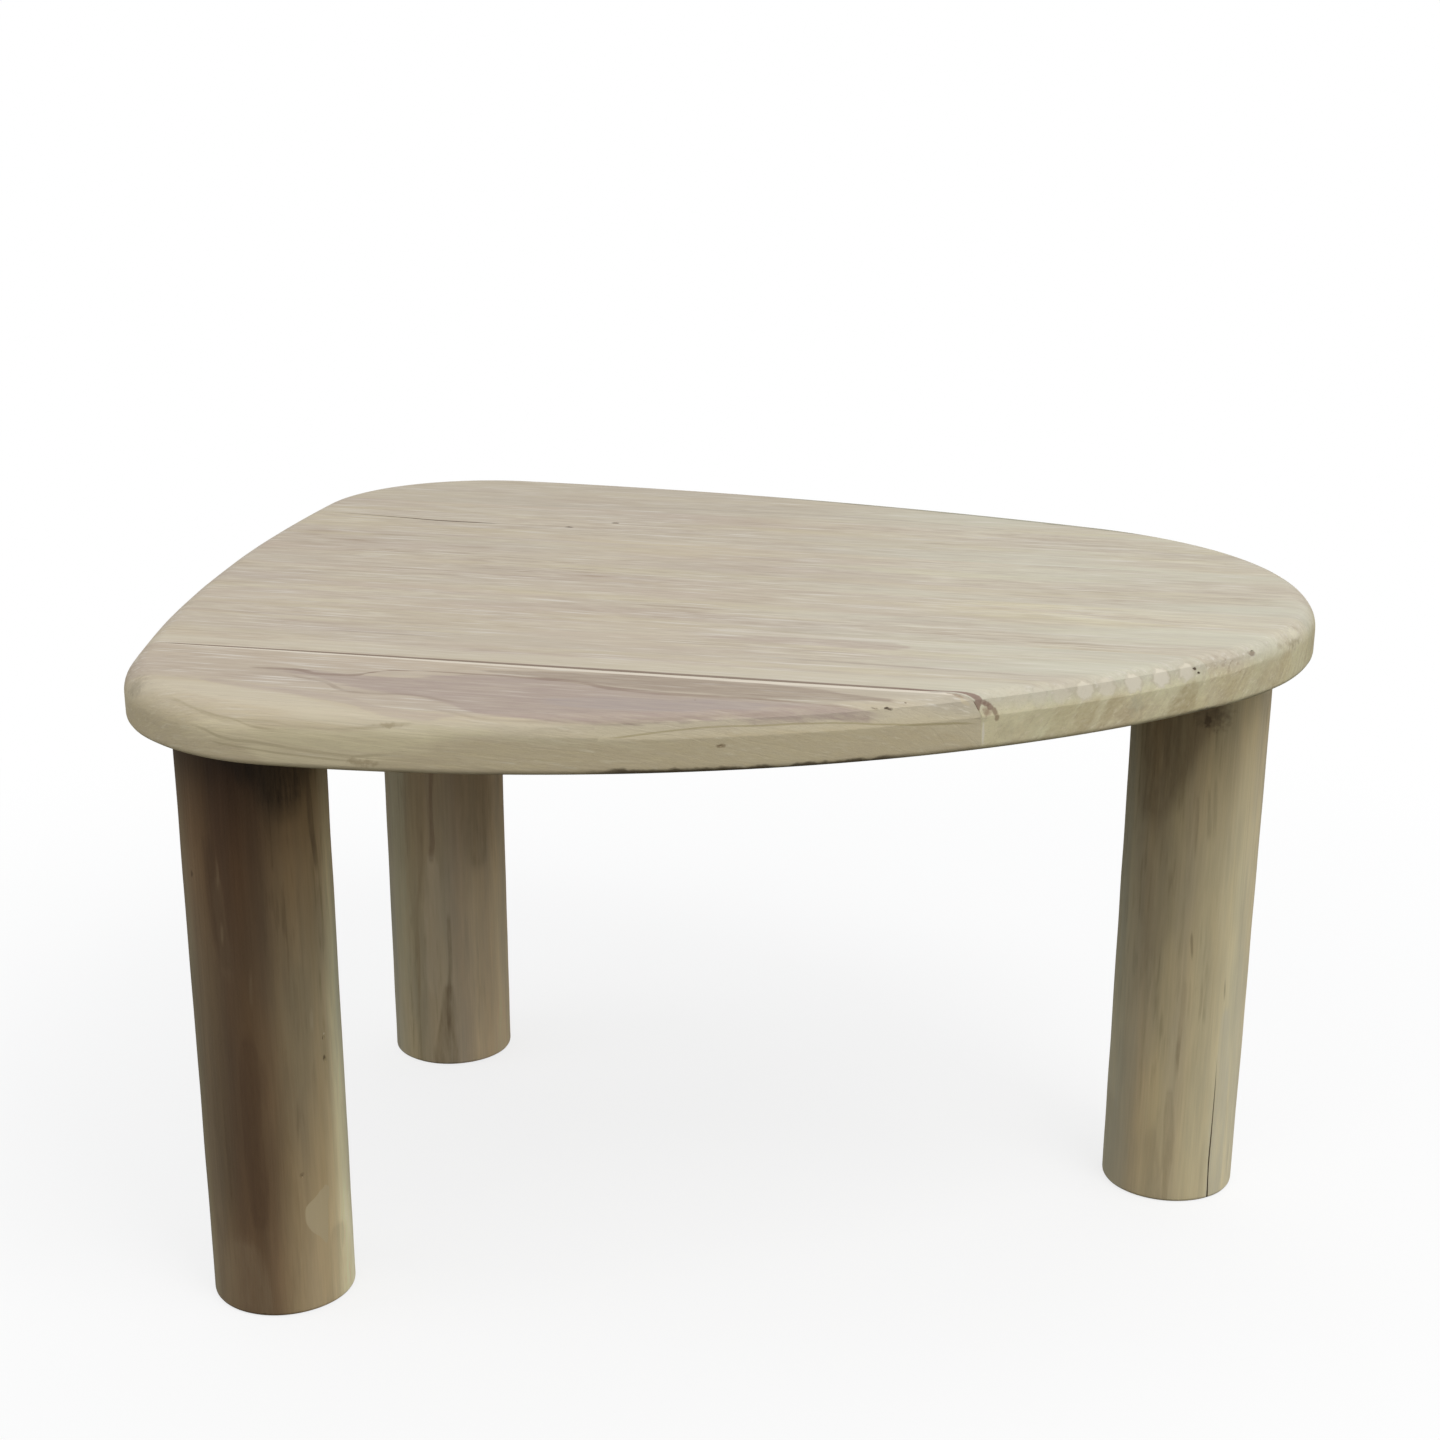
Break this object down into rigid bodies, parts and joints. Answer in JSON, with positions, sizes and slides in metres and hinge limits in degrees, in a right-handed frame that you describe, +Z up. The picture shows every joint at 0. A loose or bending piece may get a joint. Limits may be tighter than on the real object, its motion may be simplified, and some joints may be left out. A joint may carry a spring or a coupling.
{
  "type": "side table",
  "caption": "Low side table: a pebble-shaped solid wood top of edge-glued boards with a softly rounded rim, on stout round turned legs.",
  "frame": {"origin": "on the floor, under the middle of the top's length and depth", "axes": "+Z up, +X along the boards towards the single right leg, +Y towards the back, away from the wide front board's rim"},
  "size_m": [0.7662, 0.688, 0.45],
  "materials": {
    "top_wood": "sanded, unfinished, matte",
    "leg_wood": "turned and sanded, unfinished, matte",
    "dowel_wood": "smooth, unfinished",
    "zinc_plated_steel": "bright zinc plated",
    "yellow_zinc_steel": "yellow zinc plated"
  },
  "bodies": {
    "root": {"front_board": "top_wood", "second_board": "top_wood", "third_board": "top_wood", "fourth_board": "top_wood", "fifth_board": "top_wood", "back_board": "top_wood", "front_seam_dowel_1": "dowel_wood", "front_seam_dowel_2": "dowel_wood", "front_seam_dowel_3": "dowel_wood", "second_seam_dowel_1": "dowel_wood", "second_seam_dowel_2": "dowel_wood", "second_seam_dowel_3": "dowel_wood", "third_seam_dowel_1": "dowel_wood", "third_seam_dowel_2": "dowel_wood", "third_seam_dowel_3": "dowel_wood", "third_seam_dowel_4": "dowel_wood", "fourth_seam_dowel_1": "dowel_wood", "fourth_seam_dowel_2": "dowel_wood", "fourth_seam_dowel_3": "dowel_wood", "fourth_seam_dowel_4": "dowel_wood", "back_seam_dowel_1": "dowel_wood", "back_seam_dowel_2": "dowel_wood", "back_seam_dowel_3": "dowel_wood", "front_left_leg": "leg_wood", "back_left_leg": "leg_wood", "right_leg": "leg_wood", "front_left_hanger_bolt": "zinc_plated_steel", "back_left_hanger_bolt": "zinc_plated_steel", "right_hanger_bolt": "zinc_plated_steel", "front_left_insert": "yellow_zinc_steel", "back_left_insert": "yellow_zinc_steel", "right_insert": "yellow_zinc_steel"}
  },
  "joints": []
}
